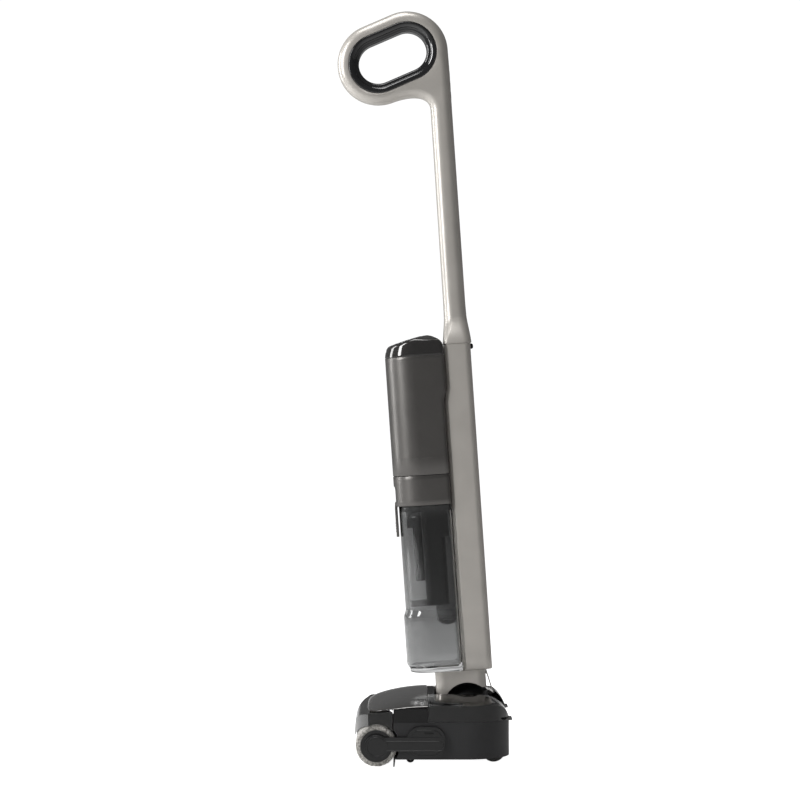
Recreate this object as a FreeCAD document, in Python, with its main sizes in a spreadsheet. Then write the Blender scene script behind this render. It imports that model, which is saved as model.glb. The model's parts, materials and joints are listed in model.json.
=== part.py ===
"""Wet dry floor scrubber: a roller head on wheels, a two-axis neck and a reclining column.

Millimetres. +Z is up, the roller faces -Y, the user stands at +Y and X is left-right symmetric.
Head pieces are modelled where they lie. Column pieces are modelled upright in the column's own
axes (Y towards the rear, Z up the column, origin at the centre of the neck ball) and then take
the column's placement, which leans them forward to the parking stop.
"""
import FreeCAD, Part
import math
import os
import re

V = FreeCAD.Vector
doc = FreeCAD.newDocument("floor_scrubber")

# ---------------------------------------------------------------- driving dimensions
DIMS = {
    # head
    "head_half": 122.0, "head_rear": 122.0, "head_corner": 62.0, "head_front": -46.0,
    "floor_low": 11.5, "deck_top": 64.0, "wall": 2.5, "crown_top": 100.5, "crown_side": 87.0,
    "visor_rear": 3.5, "notch_half": 57.5, "notch_front": 14.0, "trough_front": 104.5,
    "trough_low": 45.5, "bridge_top": 52.0, "cap_low": 87.5, "cap_high": 96.5,
    # roller and its drive
    "roller_back": -70.5, "roller_up": 30.5, "fleece_radius": 30.4, "core_radius": 22.0, "plug_radius": 20.0,
    "roller_half": 118.0, "cavity_radius": 33.5, "window_gap_radius": 31.4,
    "motor_back": 1.1, "motor_up": 36.7, "roller_pulley_radius": 5.5, "motor_pulley_radius": 3.3,
    "arm_inner": 122.2, "arm_outer": 128.2, "arm_end_radius": 17.4, "pulley_low": 122.8,
    "pulley_high": 126.0, "axle_radius": 3.0, "running_gap": 0.05,
    "can_radius": 14.0, "can_wall": 2.0, "can_low": 66.0, "can_high": 116.0, "rotor_radius": 10.5,
    "motor_shaft_radius": 1.6,
    # wheels
    "wheel_radius": 17.4, "wheel_back": 99.4, "wheel_side": 52.0, "wheel_width": 22.0,
    "caster_radius": 6.0, "caster_back": -21.5, "caster_side": 68.0, "caster_width": 6.0,
    # neck joint
    "joint_back": 62.8, "joint_up": 76.5, "column_lean": 3.9, "ball_radius": 34.0,
    "ball_half": 30.0, "recline_pin_radius": 6.0, "swivel_pin_radius": 5.0,
    "well_radius": 49.5, "well_half": 43.5, "well_top": 58.0, "well_low": 24.0,
    "neck_half": 33.0, "neck_front": -44.5, "neck_rear": 30.0, "neck_top": 53.3, "neck_low": -12.0,
    # column
    "column_half": 37.0, "column_front": -3.0, "column_rear": 40.0, "column_low": 53.5,
    "column_top": 531.8, "skin": 2.5, "tube_half": 15.0, "tube_front": 4.8, "tube_rear": 37.5,
    "tube_low": 571.5, "tube_top": 880.0, "tube_corner": 14.0,
    # handle loop
    "loop_half": 17.0, "loop_radius": 60.0, "ring_radius": 43.6, "finger_radius": 28.5,
    "ring_half": 15.5,
    # motor unit and dirty water tank
    "unit_half": 43.0, "unit_front": -86.5, "unit_rear": -3.4, "unit_low": 343.2, "cap_rear": 0.1,
    "unit_high": 517.5, "unit_step": 462.0, "lid_low": 298.8, "lid_high": 342.8, "lid_wall": 3.0,
    "jar_half": 41.0, "jar_front": -81.0, "jar_rear": -3.6, "jar_low": 53.7, "jar_high": 298.5,
    "jar_skin": 2.2, "belly_half": 42.0, "belly_front": -84.5, "belly_low": 66.0, "belly_high": 134.5,
    "unit_centre": -43.0, "latch_back": -82.6, "latch_up": 305.0,
    # inside the dirty water tank
    "separator_high": 296.0, "guide_low": 187.0, "guide_back": -56.1, "inlet_back": -20.0,
    "inlet_up": 133.5, "cup_bowl": 20.0, "cup_centre": 139.5,
    # inside the column and the motor unit
    "riser_back": 16.0, "riser_radius": 10.0, "riser_bore": 8.4, "cell_radius": 9.2, "cell_long": 65.0,
    "fan_low": 453.2, "fan_high": 463.0,
}

sheet = doc.addObject("Spreadsheet::Sheet", "Dims")
for row, (alias, value) in enumerate(DIMS.items(), start=1):
    sheet.set(f"A{row}", alias)
    sheet.set(f"B{row}", str(value))
    sheet.setAlias(f"B{row}", alias)
doc.recompute()


def size(alias):
    """The number in the sheet's cell."""
    return DIMS[alias]


# ---------------------------------------------------------------- building blocks
SUBPARTS = []


def bound(text):
    """An expression on the sheet, from a text that names its aliases."""
    return re.sub(r"\b[a-z][a-z_]+[a-z]\b", lambda word: "Dims." + word.group(0), str(text))


def bind(thing, **sizes):
    for prop, text in sizes.items():
        thing.setExpression(prop, bound(text))


def locate(thing, x=0, y=0, z=0):
    for axis, text in (("x", x), ("y", y), ("z", z)):
        thing.setExpression(f".Placement.Base.{axis}", bound(text))


def block(name, x, y, z):
    """A box between the (low, high) pairs x, y and z."""
    box = doc.addObject("Part::Box", name)
    bind(box, Length=f"({x[1]}) - ({x[0]})", Width=f"({y[1]}) - ({y[0]})",
         Height=f"({z[1]}) - ({z[0]})")
    locate(box, x[0], y[0], z[0])
    return box


TURN = {"x": FreeCAD.Rotation(V(0, 1, 0), 90), "y": FreeCAD.Rotation(V(1, 0, 0), -90),
        "z": FreeCAD.Rotation()}


def rod(name, along, radius, span, a, b):
    """A cylinder along an axis over span; a and b are its centre on the other two, in X, Y, Z order."""
    cylinder = doc.addObject("Part::Cylinder", name)
    bind(cylinder, Radius=radius, Height=f"({span[1]}) - ({span[0]})")
    cylinder.Placement = FreeCAD.Placement(V(), TURN[along])
    place = {"x": (span[0], a, b), "y": (a, span[0], b), "z": (a, b, span[0])}[along]
    locate(cylinder, *place)
    return cylinder


def tube(name, along, outer, inner, span, a, b):
    return cut(name, rod(name + "_outside", along, outer, span, a, b),
               rod(name + "_bore", along, inner, span, a, b))


def draw(sketch, outline):
    """Close an outline of points; a point with four numbers ends an arc through its last two."""
    points = list(outline)
    if tuple(points[-1][:2]) != tuple(points[0][:2]):
        points.append(points[0][:2])
    for start, end in zip(points, points[1:]):
        low, high = V(start[0], start[1], 0), V(end[0], end[1], 0)
        if len(end) == 4:
            arc = Part.Arc(low, V(end[2], end[3], 0), high)
            sketch.addGeometry(arc)
        else:
            sketch.addGeometry(Part.LineSegment(low, high))


def sketch_on(body, plane, outline, offset=0):
    sketch = body.newObject("Sketcher::SketchObject", body.Name + "_sketch")
    flat = [f for f in body.Origin.OriginFeatures if f.Role == plane + "_Plane"][0]
    sketch.AttachmentSupport = [(flat, "")]
    sketch.MapMode = "FlatFace"
    sketch.setExpression(".AttachmentOffset.Base.z", bound(offset))
    draw(sketch, outline)
    return sketch


def prism(name, plane, outline, span):
    """A padded outline in the XY, XZ or YZ plane, over span on the third axis."""
    body = doc.addObject("PartDesign::Body", name)
    start = f"-({span[1]})" if plane == "XZ" else span[0]
    sketch = sketch_on(body, plane, outline, start)
    pad = body.newObject("PartDesign::Pad", name + "_pad")
    pad.Profile = (sketch, [""])
    bind(pad, Length=f"({span[1]}) - ({span[0]})")
    return body


def turned(name, outline):
    """An outline in the XZ plane (radius, height) turned about Z."""
    body = doc.addObject("PartDesign::Body", name)
    sketch = sketch_on(body, "XZ", outline)
    spin = body.newObject("PartDesign::Revolution", name + "_turn")
    spin.Profile = (sketch, [""])
    spin.ReferenceAxis = (sketch, ["V_Axis"])
    spin.Angle = 360
    return body


def fuse(name, *shapes):
    result = doc.addObject("Part::MultiFuse", name)
    result.Shapes = list(shapes)
    return result


def cut(name, base, *tools):
    result = doc.addObject("Part::Cut", name)
    result.Base = base
    result.Tool = tools[0] if len(tools) == 1 else fuse(name + "_tools", *tools)
    return result


def common(name, *shapes):
    result = doc.addObject("Part::MultiCommon", name)
    result.Shapes = list(shapes)
    return result


def held(name, thing):
    """A piece that keeps its own tilt inside the placement that it gets later."""
    result = doc.addObject("Part::Compound", name)
    result.Links = [thing]
    return result


def mirrored(name, source):
    """The same piece on the other side of the YZ plane."""
    result = doc.addObject("Part::Mirroring", name)
    result.Source = source
    result.Normal = V(1, 0, 0)
    return result


def finish(label, thing, on_column=False):
    """Name a finished piece and put it on the column where it belongs there."""
    thing.Label = label
    if on_column:
        lean = FreeCAD.Rotation(V(1, 0, 0), size("column_lean"))
        thing.Placement = FreeCAD.Placement(V(), lean)
        locate(thing, 0, "joint_back", "joint_up")
    SUBPARTS.append(thing)
    return thing


def on_column(label, thing):
    if thing.TypeId in ("Part::Box", "Part::Cylinder"):
        thing = held(label + "_held", thing)
    return finish(label, thing, on_column=True)


def arc_mid(cx, cy, radius, degrees):
    angle = math.radians(degrees)
    return cx + radius * math.cos(angle), cy + radius * math.sin(angle)


# ---------------------------------------------------------------- outlines
def head_plan(inset, front):
    """Plan of the head: straight sides and a rear with two large corners."""
    half = size("head_half") - inset
    rear = size("head_rear") - inset
    radius = size("head_corner") - inset
    bend_x = half - radius
    bend_y = rear - radius
    return [(half, front), (half, bend_y),
            (bend_x, rear, *arc_mid(bend_x, bend_y, radius, 45)), (-bend_x, rear),
            (-half, bend_y, *arc_mid(-bend_x, bend_y, radius, 135)), (-half, front)]


def crown(drop, half, low):
    """Front view of the head's domed top, lowered by drop."""
    top, side = size("crown_top") - drop, size("crown_side") - drop
    return [(-half, low), (half, low), (half, side), (-half, side, 0, top)]


def stadium(a, b, radius):
    """Two equal circles joined by their outer tangents."""
    ax, ay = a
    bx, by = b
    length = math.hypot(bx - ax, by - ay)
    ux, uy = (bx - ax) / length, (by - ay) / length
    nx, ny = -uy, ux
    return [(ax + radius * nx, ay + radius * ny),
            (ax - radius * nx, ay - radius * ny, ax - radius * ux, ay - radius * uy),
            (bx - radius * nx, by - radius * ny),
            (bx + radius * nx, by + radius * ny, bx + radius * ux, by + radius * uy)]


def rounded_box(x0, x1, y0, y1, radius):
    c = radius
    return [(x0 + c, y0), (x1 - c, y0), (x1, y0 + c, *arc_mid(x1 - c, y0 + c, c, -45)),
            (x1, y1 - c), (x1 - c, y1, *arc_mid(x1 - c, y1 - c, c, 45)),
            (x0 + c, y1), (x0, y1 - c, *arc_mid(x0 + c, y1 - c, c, 135)),
            (x0, y0 + c), (x0 + c, y0, *arc_mid(x0 + c, y0 + c, c, 225))]


def bullet(part, inset=0.0, rear=None):
    """Plan of the tank, lid or motor unit: a half-round front, flat sides and eased rear corners."""
    half = size(part + "_half") - inset
    front = size(part + "_front") + inset
    back = size(rear or part + "_rear") - inset
    c = 4.0
    bend = front + half
    return [(-half, bend), (half, bend, 0, front), (half, back - c),
            (half - c, back, *arc_mid(half - c, back - c, c, 45)), (-half + c, back),
            (-half, back - c, *arc_mid(-half + c, back - c, c, 135))]


def column_plan(inset, front):
    """Plan of the column: eased front edges and rounded rear corners."""
    half = size("column_half") - inset
    rear = size("column_rear") - inset
    c = 10.0 - inset
    e = 5.0 - inset / 2
    return [(-half + e, front), (half - e, front), (half, front + e), (half, rear - c),
            (half - c, rear, *arc_mid(half - c, rear - c, c, 45)), (-half + c, rear),
            (-half, rear - c, *arc_mid(-half + c, rear - c, c, 135)), (-half, front + e)]


# ---------------------------------------------------------------- head
def base_housing():
    shell = prism("base_shell", "XY", head_plan(0, size("head_front")), ("floor_low", "deck_top"))
    hollow = prism("base_hollow", "XY", head_plan(2.5, -33.0), ("floor_low + wall", "deck_top + 1"))
    cavity = rod("base_cavity", "x", "cavity_radius", (-140, 140), "roller_back", "roller_up")
    trough = block("base_trough", (-61, 61), ("trough_front", 130), ("trough_low", "deck_top + 1"))
    holes = [hollow, cavity, trough]
    holes.append(block("base_mouth", (-29, 29), (-40, -30), (17, 26)))
    holes.append(rod("base_shaft_hole", "x", 2.6, (110, 130), "motor_back", "motor_up"))
    tray = cut("base_tray", shell, *holes)
    boxes, wells = [], []
    for side in (-1, 1):
        x0 = side * size("wheel_side")
        boxes.append(block("wheel_box", (x0 - 17, x0 + 17), (78.5, 119.7), ("floor_low", 40)))
        wells.append(rod("wheel_well", "x", "wheel_radius + 2", (x0 - 13, x0 + 13),
                         "wheel_back", "wheel_radius"))
        wells.append(rod("wheel_bore", "x", "axle_radius", (x0 - 18, x0 + 18),
                         "wheel_back", "wheel_radius"))
        x1 = side * size("caster_side")
        boxes.append(block("caster_box", (x1 - 7.5, x1 + 7.5), ("caster_back - 5", "caster_back + 5"),
                           (5, "floor_low + 6")))
        wells.append(block("caster_gap", (x1 - 3.5, x1 + 3.5), ("caster_back - 7", "caster_back + 7"),
                           (4, "floor_low + 1.2")))
        wells.append(rod("caster_bore", "x", 1.5, (x1 - 7.6, x1 + 7.6),
                         "caster_back", "caster_radius"))
    wells.append(rod("charge_left", "z", 4.2, (10, 20), -12, 40))
    wells.append(rod("charge_right", "z", 4.2, (10, 20), 12, 40))
    finish("base_housing", cut("base", fuse("base_solid", tray, *boxes), *wells))
    pins = [rod("charge_pin", "z", 4.2, ("floor_low", 16), x0, 40) for x0 in (12, -12)]
    finish("charge_contacts", fuse("charge_pins", *pins))


def roller_hood():
    outside = block("hood_outside", (-121.6, 121.6), (-46, "visor_rear"), ("deck_top + 0.01", 83.4))
    inside = block("hood_inside", (-119, 119), (-34, 6), (60, 81.5))
    cavity = rod("hood_cavity", "x", "cavity_radius + 0.5", (-140, 140), "roller_back", "roller_up")
    top = prism("hood_top", "YZ", [(-47, 60), (4, 60), (4, 86), (-36, 83.6), (-47, 81.6)], (-122, 122))
    bar = rod("hood_bar", "x", 2.6, (-112.2, 112.2), -38.4, 76)
    finish("roller_hood", cut("hood", common("hood_body", outside, top), inside, cavity, bar))


def visor():
    def plan(inset, rear):
        """A straight rear, large rounded front corners and a slightly bowed front."""
        half, bend, front = 123.0 - inset, -16.0, -84.4 + inset
        corner_x, corner_y = 105.0 - inset, -62.0 + inset
        return [(half, rear), (half, bend), (70, front, corner_x, corner_y),
                (-70, front, 0, front - 1.2), (-half, bend, -corner_x, corner_y), (-half, rear)]

    side = [(-85.6, 76.6), (-36.5, 84.3, -60, 81.0), (3.5, 86.8), (3.5, 100.5), (-22, 99.4),
            (-84.9, 82.2, -61, 92.4)]
    under = [(-83.4, 60), (8, 60), (8, 97.6), (-22, 96.4), (-82.4, 80.0, -60, 89.6)]
    outside = common("visor_outside", prism("visor_side", "YZ", side, (-126, 126)),
                     prism("visor_plan", "XY", plan(0, size("visor_rear")), (60, 110)),
                     prism("visor_crown", "XZ", crown(0, 126, 60), (-90, 10)))
    inside = common("visor_inside", prism("visor_side_in", "YZ", under, (-126, 126)),
                    prism("visor_plan_in", "XY", plan(2.4, 8), (50, 110)),
                    prism("visor_crown_in", "XZ", crown(3, 126, 50), (-90, 12)))
    return finish("visor", cut("visor_cut", outside, inside))


def roller_window():
    """The clear front of the roller chamber, with its two end walls."""
    def solid(name, inset, low):
        half = 121.4 - inset
        front = -103.8 + inset
        side_front = front + 21.6
        plan = [(half, -46), (half, side_front), (-half, side_front, 0, front), (-half, -46)]
        profile = [(-104 + inset, low), (-101.4 + inset, 58.6),
                   (-87, 74.2 - inset, -96.0 + 0.7 * inset, 68.6 - 0.7 * inset),
                   (-80, 77.2 - inset), (-46, 80.0 - inset), (-46, low)]
        return common(name, prism(name + "_plan", "XY", plan, (low, 90)),
                      prism(name + "_side", "YZ", profile, (-125, 125)))
    outside = solid("window_outside", 0, 34.0)
    inside = solid("window_inside", 2.0, 30.0)
    roller = rod("window_roller", "x", "window_gap_radius", (-130, 130), "roller_back", "roller_up")
    top = block("window_top", (-119.4, 119.4), (-80, -30), (60, 90))
    ends = block("window_ends", (-130, 130), (-47.2, -30), (20, 90))
    finish("roller_window", cut("window", outside, inside, roller, top, ends))


def roller():
    back, up = "roller_back", "roller_up"
    half = "roller_half"
    finish("roller_sleeve", tube("sleeve", "x", "fleece_radius", "core_radius",
                                 (f"-{half}", half), back, up))
    finish("roller_core", tube("core", "x", "core_radius", "plug_radius", (f"-{half}", half), back, up))
    hub = rod("pulley_hub", "x", 4.4, (121.6, "pulley_low"), back, up)
    pulley = rod("pulley_rim", "x", "roller_pulley_radius", ("pulley_low", "pulley_high"), back, up)
    for side, low, high in (("left", 112, 121.6), ("right", -121.6, -112)):
        plug = rod("cap_plug", "x", "plug_radius", (low, high), back, up)
        edge = (118, 121.6) if side == "left" else (-121.6, -118)
        rim = rod("cap_rim", "x", "core_radius + 0.8", edge, back, up)
        bore = rod("cap_bore", "x", "axle_radius + running_gap", (low - 1, high + 8), back, up)
        solids = [plug, rim] + ([hub, pulley] if side == "left" else [])
        finish("roller_cap_" + side, cut("cap", fuse("cap_solid", *solids), bore))


def drive():
    """Motor, belt and the two arms that hold the roller's ends."""
    a = (size("roller_back"), size("roller_up"))
    b = (size("motor_back"), size("motor_up"))
    low, high = size("arm_inner"), size("arm_outer")

    def arm(name):
        """An arm in three: the motor's boss, the bar along the head, the round end at the roller."""
        return [prism(name + "_boss", "YZ", rounded_box(-26, 28.2, 14.7, 58.7, 18), (low, high - 1.2)),
                prism(name + "_bar", "YZ", rounded_box(-72, 28.2, 24.2, 43.8, 9.5), (low, high)),
                rod(name + "_end", "x", "arm_end_radius", (low, high), *a)]

    big, small = size("roller_pulley_radius") + 1.9, size("motor_pulley_radius") + 1.9
    tilt = math.atan2(b[1] - a[1], b[0] - a[0]) + math.pi / 2
    lean = math.asin((big - small) / math.hypot(b[0] - a[0], b[1] - a[1]))

    def at(centre, radius, angle):
        return centre[0] + radius * math.cos(angle), centre[1] + radius * math.sin(angle)

    def loop(radius_a, radius_b):
        """The belt's path around its two pulleys, at these radii."""
        up, down = tilt - lean, tilt - math.pi + lean
        return [at(a, radius_a, up), (*at(a, radius_a, down), *at(a, radius_a, tilt + math.pi / 2)),
                at(b, radius_b, down),
                (*at(b, radius_b, up), *at(b, radius_b, tilt - math.pi / 2))]

    hollow = prism("arm_hollow", "YZ", loop(big, small), (low - 1, 126.4))
    axle = rod("axle_left", "x", "axle_radius", (113, 127), *a)
    finish("drive_cover", fuse("arm_axle", cut("arm", fuse("arm_solid", *arm("arm")), hollow), axle))
    belt = prism("belt_outside", "YZ", loop(big - 0.6, small - 0.6), ("pulley_low + 0.1", 125.8))
    inner = prism("belt_inside", "YZ", loop(big - 1.7, small - 1.7), (120, 128))
    finish("drive_belt", cut("belt", belt, inner))
    plain = fuse("plain_arm", *arm("plain"), rod("plain_axle", "x", "axle_radius", (113, high), *a))
    finish("roller_arm", mirrored("arm_mirror", plain))
    can = rod("can_outside", "x", "can_radius", ("can_low", "can_high"), *b)
    space = rod("can_inside", "x", "can_radius - can_wall", ("can_low + 3", "can_high - 3"), *b)
    throat = rod("can_throat", "x", "motor_shaft_radius + running_gap", ("can_high - 4", "can_high + 2"), *b)
    finish("roller_motor", cut("can", can, space, throat))
    shaft = rod("motor_shaft", "x", "motor_shaft_radius", ("can_low + 4", "pulley_low"), *b)
    rotor = rod("motor_rotor", "x", "rotor_radius", ("can_low + 6", "can_high - 6"), *b)
    wheel = rod("motor_wheel", "x", "motor_pulley_radius", ("pulley_low", "pulley_high"), *b)
    finish("motor_pulley", fuse("motor_pulley_solid", shaft, rotor, wheel))


def head_inside():
    strip = [(-44.3, 13.2), (-42.1, 13.2), (-43.1, 11.45), (-44.4, 0.2), (-46.2, 0.2)]
    finish("squeegee", prism("squeegee_strip", "YZ", strip, (-116, 116)))
    duct = block("duct_outside", (-32, 32), (-32.8, 13.6), (15, 28))
    bore = block("duct_inside", (-30, 30), (-40, 20), (17, 26))
    finish("suction_duct", cut("duct", duct, bore))
    finish("water_pump", fuse("pump", block("pump_body", (-112, -80), (4, 40), (15, 42)),
                              rod("pump_head", "y", 9, (40, 54), -96, 28)))
    finish("spray_bar", tube("spray", "x", 2.6, 1.6, (-112, 112), -38.4, 76))


def deck():
    """The plate under the clean tank, its saddle in front of the neck and the web down to the well."""
    plate = prism("deck_body", "XY", head_plan(2.6, -33.6), (61.6, "deck_top"))
    notch = block("deck_notch", ("-notch_half - 0.4", "notch_half + 0.4"),
                  ("notch_front - 0.4", 130), (50, 70))
    hood = block("deck_front", (-118, 118), (-34, 0), (50, 70))
    trough = block("deck_trough", (-61.2, 61.2), ("trough_front", 130), (50, 70))
    saddle = common("deck_saddle", prism("saddle_crown", "XZ", crown(0.8, 126, 60),
                                         ("visor_rear + 0.7", "notch_front - 0.8")),
                    block("saddle_width", ("-notch_half + 0.6", "notch_half - 0.6"), (4, 14), (62, 102)))
    web = block("saddle_web", ("-notch_half + 0.6", "notch_half - 0.6"),
                ("visor_rear + 0.7", "notch_front + 0.6"), ("well_top - 4", "deck_top - 1"))
    return fuse("deck_with_saddle", cut("deck", plate, notch, hood, trough), saddle, web)


def neck_seat():
    """The well that the neck swings in, and the bracket and pins that carry the ball."""
    back, up = "joint_back", "joint_up"
    body = block("well_body", ("-notch_half", "notch_half"), (14, 104.3), ("well_low", "well_top"))
    swing = rod("well_swing", "x", "well_radius", ("-well_half", "well_half"), back, up)
    slots = [block("well_slot", (x0, x0 + 7.6), (46.8, 78.8), (10, 80)) for x0 in (33.4, -41.0)]
    wheels = [block("well_wheel", (x0, x0 + 35), (78, 121), (10, 40.4)) for x0 in (34.6, -69.6)]
    finish("deck_plate", fuse("deck_and_well", deck(), cut("well", body, swing, *slots, *wheels)))
    ears, pins = [], []
    for x0 in (34.0, -40.0):
        ears.append(block("ear_post", (x0, x0 + 6), (48, 77.6), (14, up)))
        ears.append(rod("ear_eye", "x", 14.5, (x0, x0 + 6), back, up))
    foot = block("ear_foot", (-40, 40), (48, 77.6), (14, 20))
    for span in ((20, 40.6), (-40.6, -20)):
        pins.append(rod("recline_pin", "x", "recline_pin_radius", span, back, up))
    finish("pivot_bracket", fuse("bracket", foot, *ears, *pins))


def wheels():
    axles = []
    for side, sign in (("left", 1), ("right", -1)):
        x0 = sign * size("wheel_side")
        half = size("wheel_width") / 2
        finish("rear_wheel_" + side,
               tube("wheel", "x", "wheel_radius", "axle_radius + running_gap",
                    (x0 - half, x0 + half), "wheel_back", "wheel_radius"))
        axles.append(rod("wheel_axle", "x", "axle_radius", (x0 - 16.8, x0 + 16.8),
                         "wheel_back", "wheel_radius"))
        x1 = sign * size("caster_side")
        half = size("caster_width") / 2
        finish("front_wheel_" + side,
               tube("caster", "x", "caster_radius", "1.5 + running_gap",
                    (x1 - half, x1 + half), "caster_back", "caster_radius"))
        axles.append(rod("caster_axle", "x", 1.5, (x1 - 7.4, x1 + 7.4),
                         "caster_back", "caster_radius"))
    finish("wheel_axles", fuse("axle_set", *axles))


def clean_tank():
    """Two lobes beside the neck, open between them at the front and joined by a low rear bridge."""
    def solid(name, inset, low):
        plan = prism(name + "_plan", "XY", head_plan(0.3 + inset, 4.0 + inset), (low, 110))
        side = [(4, low), (4, 100.5 - inset), (84 - inset, 97.2 - inset),
                (121.7 - inset, 66, 111.5 - inset, 84.6 - inset), (121.7 - inset, low)]
        top = prism(name + "_crown", "XZ", crown(inset, 126, 30), (0, 130))
        return common(name, plan, prism(name + "_side", "YZ", side, (-126, 126)), top)
    outside = solid("tank_outside", 0, 64.3)
    notch = block("tank_notch", ("-notch_half", "notch_half"), (0, 130), ("bridge_top", 120))
    inside = solid("tank_inside", 2.2, 66.5)
    spare = block("tank_wall", ("-notch_half - 2.2", "notch_half + 2.2"), (0, 130), (40, 120))
    bridge = block("tank_bridge", (-60.5, 60.5), (105.2, 121.6), ("trough_low + 0.4", 66))
    hole = rod("tank_hole", "z", 11.5, ("cap_low - 1", 110), -90, 48)
    lips = [block("tank_lip", (x0, x0 + 34), (117, 125.4), (64.4, 66.6)) for x0 in (58.5, -92.5)]
    body = fuse("tank_solid", cut("tank_walls", outside, cut("tank_space", inside, spare)),
                bridge, *lips)
    finish("clean_tank", cut("tank", body, notch, hole))
    cap = rod("cap_plug", "z", 11.4, ("cap_low", "cap_high"), -90, 48)
    recess = rod("cap_recess", "z", 9, ("cap_high - 2.5", "cap_high + 1"), -90, 48)
    finish("tank_cap", cut("tank_cap_solid", cap, recess))


# ---------------------------------------------------------------- neck
def neck():
    ball = doc.addObject("Part::Sphere", "ball_round")
    bind(ball, Radius="ball_radius")
    slab = block("ball_slab", ("-ball_half", "ball_half"), (-40, 40), (-40, 40))
    recline = rod("ball_bore", "x", "recline_pin_radius + running_gap", (19.5, 45), 0, 0)
    other = rod("ball_bore_b", "x", "recline_pin_radius + running_gap", (-45, -19.5), 0, 0)
    swivel = rod("ball_bore_c", "y", "swivel_pin_radius + running_gap", (-40, -9.5), 0, 0)
    channel = block("ball_channel", (-10.5, 10.5), (10.5, 40), (-40, 40))
    on_column("neck_ball", cut("ball", common("ball_body", ball, slab), recline, other, swivel,
                               channel))
    rings = 8
    pitch = 58.0 / rings
    outline = [(5.5, 0.0)]
    for i in range(rings):
        outline += [(7.0, i * pitch), (9.0, (i + 0.5) * pitch)]
    outline += [(7.0, 58.0), (5.5, 58.0)]
    hose = turned("hose", outline)
    place = held("hose_place", hose)
    hose.Placement = FreeCAD.Placement(V(0, 25.6, -14), FreeCAD.Rotation(V(1, 0, 0), 6))
    on_column("neck_hose", place)

    def plan(inset):
        half = size("neck_half") - inset
        return rounded_box(-half, half, size("neck_front") + inset, size("neck_rear") - inset, 14 - inset)

    shell = prism("neck_outside", "XY", plan(0), ("neck_low", "neck_top"))
    hollow = prism("neck_inside", "XY", plan(size("skin")), ("neck_low - 1", "neck_top - 3"))
    arch = rod("neck_arch", "x", "ball_radius + 1.5", (-40, 40), 0, 0)
    rear = block("neck_gap", (-40, 40), (20, 40), (-20, 27))
    opening = block("neck_window", (-22.5, 22.5), (15, 40), (-20, 46))
    pin = rod("neck_pin_hole", "y", "swivel_pin_radius", (-50, -38), 0, 0)
    on_column("neck_shell", cut("neck", shell, hollow, arch, rear, opening, pin))
    on_column("swivel_pin", rod("swivel", "y", "swivel_pin_radius", (-44, -10), 0, 0))
    flap = [(28.0, 46.2), (30.5, 50.0), (32.6, 46.8), (38.2, 23.5), (36.4, 23.2), (31.0, 45.0)]
    on_column("hose_guard", cut("guard_cut", prism("guard", "YZ", flap, (-22, 22)),
                                block("guard_top", (-30, 30), (20, 30.05), (30, 60))))


# ---------------------------------------------------------------- column and handle
def column():
    low, high = "column_low", "column_top"
    outer = prism("column_outside", "XY", column_plan(0, size("column_front")), (low, high))
    inner = prism("column_inside", "XY", column_plan(size("skin"), size("column_front") - 1.5),
                  ("column_low + skin", high))
    step = block("column_step", (-40, 40), (-6, 1.2), ("unit_step", "column_top + 1"))
    nub = block("column_slot", (-6.3, 6.3), (30, 45), (523.2, 532.5))
    on_column("column_shell", cut("column", outer, inner, step, nub))
    front = block("front_panel", (-31.6, 31.6), (-2.9, 0),
                  ("column_low + skin + 0.1", "unit_step - 0.2"))
    inlet = rod("front_inlet", "y", "riser_radius + 0.2", (-10, 10), 0, "inlet_up")
    on_column("column_front", cut("front", front, inlet))
    on_column("release_button", block("nub", (-6, 6), (32, 44.6), (523.5, 531.5)))
    column_inside()


def column_inside():
    def pipe_solid(name, radius, low, front):
        """A pipe up the column that turns forward into the tank, with a ball at the bend."""
        return fuse(name, rod(name + "_up", "z", radius, (low, "inlet_up"), 0, "riser_back"),
                    rod(name + "_out", "y", radius, (front, "riser_back"), 0, "inlet_up"),
                    bead(name + "_bend", radius, (0, "riser_back", "inlet_up")))

    pipe = pipe_solid("riser_outside", "riser_radius", 56.4, 0.2)
    bore = pipe_solid("riser_inside", "riser_bore", 50, -10)
    on_column("suction_riser", cut("riser_pipe", pipe, bore))
    cells = []
    bores = []
    for number in range(6):
        x0 = 20 * (number % 3 - 1)
        z0 = 172 + 69 * (number // 3)
        for name, group in (("cell", cells), ("cell_bore", bores)):
            group.append(rod(name, "z", "cell_radius", (z0, f"{z0} + cell_long"), x0, "riser_back"))
    case = block("battery_block", (-31, 31), (3, 29), (169, 309))
    on_column("battery_case", cut("battery", case, *bores))
    on_column("battery_cells", fuse("cell_set", *cells))
    board = block("board_plate", (-28, 28), (14, 15.6), (322, 440))
    parts = [block("board_part", (-20, 4), (15.6, 24), (335, 362)),
             block("board_part", (-8, 20), (15.6, 22), (380, 425))]
    on_column("control_board", fuse("board", board, *parts))


def bead(name, radius, centre):
    ball = doc.addObject("Part::Sphere", name)
    bind(ball, Radius=radius)
    locate(ball, *centre)
    return ball


def loft(name, *sections):
    """A solid through (outline, height) sections in planes across the column."""
    body = doc.addObject("PartDesign::Body", name)
    sketches = [sketch_on(body, "XY", outline, height) for outline, height in sections]
    skin = body.newObject("PartDesign::AdditiveLoft", name + "_loft")
    skin.Profile = (sketches[0], [""])
    skin.Sections = [(sketch, [""]) for sketch in sketches[1:]]
    return body


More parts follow.
